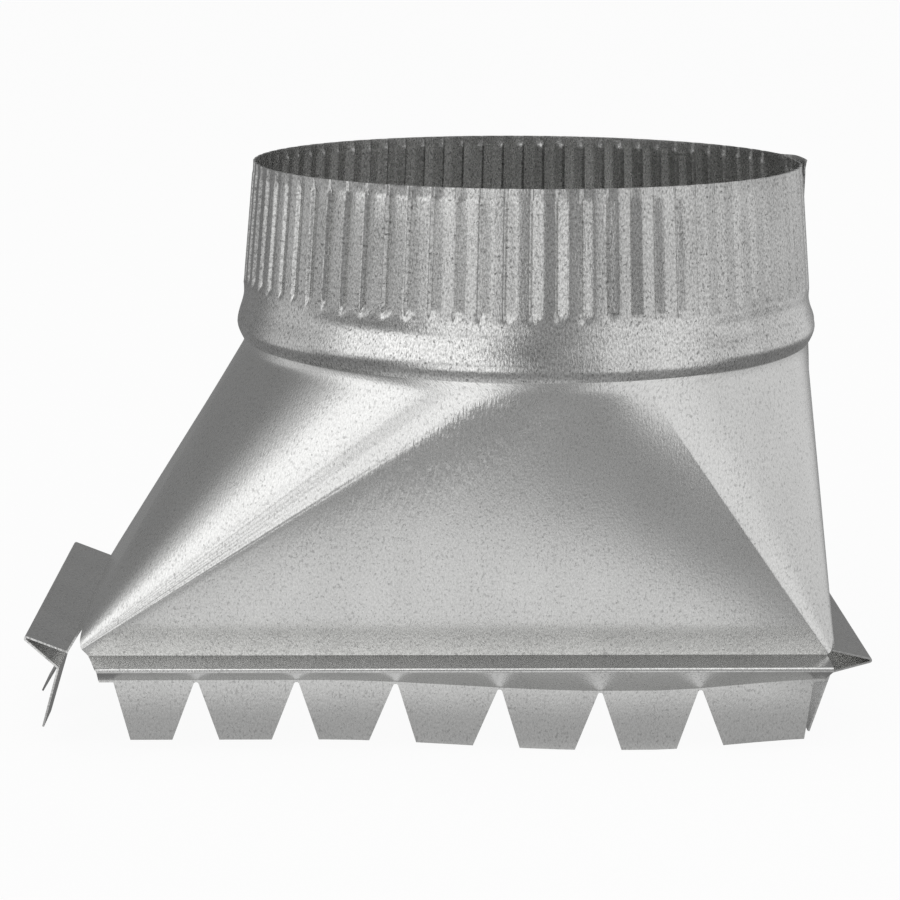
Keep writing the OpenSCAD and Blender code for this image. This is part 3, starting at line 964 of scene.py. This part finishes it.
@dataclass(frozen=True)
class Galvanised:
    """Zinc-coated sheet with fine spangle: dark flecks, rolling grain and a soft gloss.

    Flecks and mottle are strengths from 0 to 1, and grain is the depth of the grain in metres.
    Above the height rolled_from on the flat sheet, also in metres, the sheet that went through the
    crimping rolls is rougher and darker.
    """

    name: str
    colour: Triple
    roughness: float
    flecks: float
    mottle: float
    grain: float
    rolled_from: float = 1.0
    rolled_rough: float = 0.0
    rolled_tone: float = 1.0
    rubs: Rubs | None = None

    def material(self) -> bpy.types.Material:
        """Builds the finish.

        Returns:
            The material, which reads the sheet's own UV layer.
        """
        made = bpy.data.materials.new(self.name)
        made.use_nodes = True
        tree = Tree(made.node_tree)
        skin = tree.nodes["Principled BSDF"].inputs
        skin["Metallic"].default_value = 1.0
        flat = tree.add("ShaderNodeUVMap", {}, uv_map="sheet")
        zinc = tree.nodes.new("ShaderNodeGroup")
        zinc.node_tree = zinc_group()
        given = {"Place": flat, "Flecks": self.flecks, "Mottle": self.mottle, "Roughness": self.roughness}
        for name, value in given.items():
            tree.feed(zinc.inputs[name], value)
        height = tree.parts(flat)[1]
        rolled = tree.ramp(height, self.rolled_from, self.rolled_from + 0.002)
        dulled = tree.maths("MULTIPLY_ADD", rolled, self.rolled_tone - 1.0, 1.0)
        tone = {0: self.colour, "Scale": tree.times(zinc.outputs["Tone"], dulled)}
        tree.feed(skin["Base Color"], tree.add("ShaderNodeVectorMath", tone, operation="SCALE"))
        rough = tree.maths("MULTIPLY_ADD", rolled, self.rolled_rough, zinc.outputs["Roughness"])
        tree.feed(skin["Roughness"], rough)
        bump = tree.add("ShaderNodeBump", {"Strength": 1.0, "Distance": self.grain,
                                           "Height": zinc.outputs["Height"]})
        tree.feed(skin["Normal"], self.rubs.add(tree, bump) if self.rubs else bump)
        return made


SCREEN_INPUTS = ("Azimuth", "Elevation", "Half Width", "Half Height", "Softness", "Screen")


@dataclass(frozen=True)
class Screen:
    """A soft-edged screen on the room's wall, with its angles in degrees round from +X and up."""

    azimuth: float
    elevation: float
    half_width: float
    half_height: float
    soft: float
    level: float

    def inputs(self) -> dict[str, float]:
        """Gives the value of each of the group's inputs."""
        angles = (self.azimuth, self.elevation, self.half_width, self.half_height, self.soft)
        return dict(zip(SCREEN_INPUTS, (*map(math.radians, angles), self.level)))


def screen_group() -> bpy.types.NodeTree:
    """Builds, once, a soft-edged screen in front of whatever is behind it.

    Returns:
        A node group from a direction and a level behind the screen to the level that is seen.
    """
    if "room_screen" in bpy.data.node_groups:
        return bpy.data.node_groups["room_screen"]
    inputs = {"Direction": "Vector", **dict.fromkeys((*SCREEN_INPUTS, "Behind"), "Float")}
    group = new_group("room_screen", inputs, {"Level": "Float"})
    tree = Tree(group)
    given, result = group.nodes["Group Input"].outputs, group.nodes["Group Output"].inputs
    x, y, z = tree.parts(given["Direction"])
    turn = tree.maths("SUBTRACT", tree.maths("ARCTAN2", y, x), given["Azimuth"])
    around = tree.maths("ABSOLUTE", tree.maths("WRAP", turn, math.pi, -math.pi))
    climb = tree.maths("SUBTRACT", tree.maths("ARCSINE", z), given["Elevation"])
    height = tree.maths("ABSOLUTE", climb)

    def inside(offset: Socket, half: Socket) -> Socket:
        """Gives 1 within the screen and 0 past its soft edge."""
        past = tree.maths("DIVIDE", tree.maths("SUBTRACT", offset, half), given["Softness"])
        return tree.ramp(past, -1.0, 1.0, 1.0, 0.0)

    share = tree.times(inside(around, given["Half Width"]), inside(height, given["Half Height"]))
    rise = tree.maths("SUBTRACT", given["Screen"], given["Behind"])
    tree.feed(result["Level"], tree.maths("MULTIPLY_ADD", share, rise, given["Behind"]))
    return group


@dataclass
class Studio:
    """The pale floor, the room with its bright screens, the lamp and the camera.

    The metal mirrors the floor as a painted pool of light. That pool carries a painted shadow of the part
    within shade_y, and under the part painted shade that differs by under_shade_shares from the middle
    out. Sizes are in metres and angles in radians.
    """

    eye: Triple = (-0.012435, -0.638501, 0.184587)
    pitch: float = 0.21857
    yaw: float = 0.0201
    roll: float = 0.00439
    focal_px: float = 2371.8
    frame_px: float = 900.0
    floor_z: float = -0.0274
    floor_reach: float = 9.0
    floor_white: float = 0.94
    # Painted pool of light on the floor as the metal sees it, with painted shadow near the part and
    # painted shade under it.
    pool_r: Pair = (0.114, 0.140)
    pool_level: float = 0.80
    shade_y: Pair = (0.062, 0.080)
    shade_level: float = 0.44
    under_shade_y: Pair = (0.044, 0.054)
    under_shade_x: Pair = (0.066, 0.078)
    under_shade_shares: Pair = (1.5, 0.4)
    room_level: float = 0.24
    backdrop_level: Pair = (0.80, 1.10)
    screens: tuple[Screen, ...] = (
        Screen(270.0, -60.0, 80.0, 26.0, 5.0, 0.32),
        Screen(161.0, -2.0, 15.0, 14.0, 4.0, 0.66),
        Screen(188.0, 15.0, 20.0, 22.0, 6.0, 0.60),
        Screen(244.5, -15.5, 18.5, 16.5, 4.0, 1.22),
        Screen(223.0, 22.0, 36.0, 17.5, 4.0, 1.33),
        Screen(321.0, 5.0, 27.0, 40.0, 3.0, 0.88),
        Screen(20.0, 3.0, 40.0, 14.0, 5.0, 0.76),
        Screen(277.0, 3.0, 15.0, 40.0, 3.0, 0.31),
        Screen(270.0, 54.0, 60.0, 20.0, 5.0, 1.20),
        Screen(266.0, 32.0, 13.0, 9.0, 3.0, 0.12),
        Screen(0.0, 90.0, 180.0, 22.0, 5.0, 0.52),
    )

    lamp_place: Triple = (0.1, -0.2, 1.6)
    lamp_aim: Triple = (0.0, 0.0, 0.05)
    lamp_size: Pair = (2.4, 1.8)
    lamp_watts: float = 5.0

    def camera(self) -> None:
        """Sets the camera at the photograph's place and angle."""
        level = math.cos(self.pitch)
        ahead = Vector((math.sin(self.yaw) * level, math.cos(self.yaw) * level, -math.sin(self.pitch)))
        right = Vector((math.cos(self.yaw), -math.sin(self.yaw), 0.0))
        up = right.cross(ahead)
        c, s = math.cos(self.roll), math.sin(self.roll)
        right, up = right * c + up * s, up * c - right * s
        lens = bpy.data.cameras.new("camera")
        lens.sensor_width = 36.0
        lens.lens = self.focal_px / self.frame_px * lens.sensor_width
        camera = bpy.data.objects.new("camera", lens)
        turn = Matrix((right, up, -ahead)).transposed().to_4x4()
        camera.matrix_world = Matrix.Translation(self.eye) @ turn
        bpy.context.scene.collection.objects.link(camera)
        bpy.context.scene.camera = camera

    def floor(self) -> None:
        """Lays the pale floor, which shows nearly white and keeps the shadow, and which the metal mirrors
        as a painted pool of light that glows.
        """
        bm = bmesh.new()
        bmesh.ops.create_grid(bm, x_segments=2, y_segments=2, size=self.floor_reach)
        bmesh.ops.translate(bm, verts=bm.verts, vec=(0.0, 0.0, self.floor_z))
        mesh = bpy.data.meshes.new("floor")
        bm.to_mesh(mesh)
        bm.free()
        floor = bpy.data.objects.new("floor", mesh)
        bpy.context.scene.collection.objects.link(floor)
        paint = bpy.data.materials.new("floor_paint")
        paint.use_nodes = True
        tree = Tree(paint.node_tree)
        matt = tree.nodes["Principled BSDF"]
        matt.inputs["Base Color"].default_value = (0.92, 0.92, 0.92, 1.0)
        matt.inputs["Roughness"].default_value = 0.9
        x, y, _ = tree.parts(tree.add("ShaderNodeTexCoord", {}, "Object"))
        reach = tree.maths("SQRT", tree.maths("ADD", tree.times(x, x), tree.times(y, y)))
        # Painted pool of light: for all but camera rays the floor glows out to pool_r, and past that it is
        # see-through.
        pool = tree.ramp(reach, *self.pool_r, 1.0, 0.0)
        along, aside = tree.maths("ABSOLUTE", x), tree.maths("ABSOLUTE", y)
        # Painted shade under the part: the glow is brighter under its middle and darker under its ends.
        under = tree.ramp(aside, *self.under_shade_y, tree.ramp(along, *self.under_shade_x, *self.under_shade_shares), 1.0)
        # Painted shadow of the part: the glow is dimmer within shade_y of the part's middle line.
        shade = tree.ramp(aside, *self.shade_y, self.shade_level, self.pool_level)
        bare = tree.nodes.new("ShaderNodeBsdfTransparent")
        # This glow is painted light, not a lamp. Its strength carries the painted shadow and the painted
        # shade of the part.
        painted_pool_light = tree.add("ShaderNodeEmission", {"Strength": tree.times(under, shade)})
        laid = tree.add("ShaderNodeMixShader", {"Fac": pool, 1: bare.outputs[0], 2: painted_pool_light})
        white = tree.add("ShaderNodeEmission", {"Strength": 1.0})
        shown = tree.add("ShaderNodeMixShader", {"Fac": self.floor_white, 1: matt.outputs[0], 2: white})
        seen = tree.add("ShaderNodeLightPath", {}, "Is Camera Ray")
        blend = tree.add("ShaderNodeMixShader", {"Fac": seen, 1: laid, 2: shown})
        tree.feed(tree.nodes["Material Output"].inputs["Surface"], blend)
        mesh.materials.append(paint)

    def world(self) -> None:
        """Sets a white backdrop, which the metal sees between the room's grey screens."""
        world = bpy.data.worlds.new("room")
        bpy.context.scene.world = world
        world.use_nodes = True
        tree = Tree(world.node_tree)
        way = tree.add("ShaderNodeTexCoord", {}, "Generated")
        level: object = self.room_level
        for screen in self.screens:
            node = tree.nodes.new("ShaderNodeGroup")
            node.node_tree = screen_group()
            for name, value in {"Direction": way, "Behind": level, **screen.inputs()}.items():
                tree.feed(node.inputs[name], value)
            level = node.outputs["Level"]
        path = tree.nodes.new("ShaderNodeLightPath").outputs
        mirrored = tree.maths("MAXIMUM", path["Is Glossy Ray"], path["Is Transmission Ray"])
        opened = tree.times(mirrored, tree.ramp(level, *self.backdrop_level))
        short = tree.maths("MAXIMUM", tree.maths("SUBTRACT", 1.0, level), 0.0)
        level = tree.maths("MULTIPLY_ADD", opened, short, level)
        rise = tree.maths("SUBTRACT", 1.0, level)
        room = tree.nodes["Background"].inputs
        tree.feed(room["Strength"], tree.maths("MULTIPLY_ADD", path["Is Camera Ray"], rise, level))
        room["Color"].default_value = (1.0, 1.0, 1.0, 1.0)

    def lamp(self) -> None:
        """Hangs a soft lamp over the part."""
        lamp = bpy.data.lights.new("top_box", "AREA")
        lamp.shape = "RECTANGLE"
        lamp.size, lamp.size_y = self.lamp_size
        lamp.energy = self.lamp_watts
        holder = bpy.data.objects.new("top_box", lamp)
        holder.location = self.lamp_place
        aim = Vector(self.lamp_aim) - Vector(self.lamp_place)
        holder.rotation_euler = aim.to_track_quat("-Z", "Y").to_euler()
        bpy.context.scene.collection.objects.link(holder)

    def build(self) -> None:
        """Adds the camera, the floor, the room and the lamp."""
        self.camera()
        self.floor()
        self.world()
        self.lamp()


def main() -> None:
    """Builds the takeoff and its studio."""
    logging.basicConfig(level=logging.INFO, format="%(name)s: %(message)s")
    bpy.context.scene.view_settings.view_transform = "Standard"
    parts = (
        (Transition().build(), "transition_body", "body_sheet",
         Galvanised("body_zinc", (0.80, 0.80, 0.79), roughness=0.24, flecks=0.24, mottle=0.21,
                    grain=0.000013, rubs=Rubs())),
        (Collar().build(), "crimped_collar", "collar_sheet",
         Galvanised("collar_zinc", (0.85, 0.85, 0.84), roughness=0.23, flecks=0.34, mottle=0.50,
                    grain=0.000014, rolled_from=0.0135, rolled_rough=0.04, rolled_tone=0.84)),
    )
    for piece, node, slot, finish in parts:
        piece.data.materials.append(finish.material())
        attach(piece, "root")
        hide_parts(node)
        LOG.info("%s stands for %s with %d faces", piece.name, node, len(piece.data.polygons))
    Studio().build()


if __name__ == "__main__":
    main()
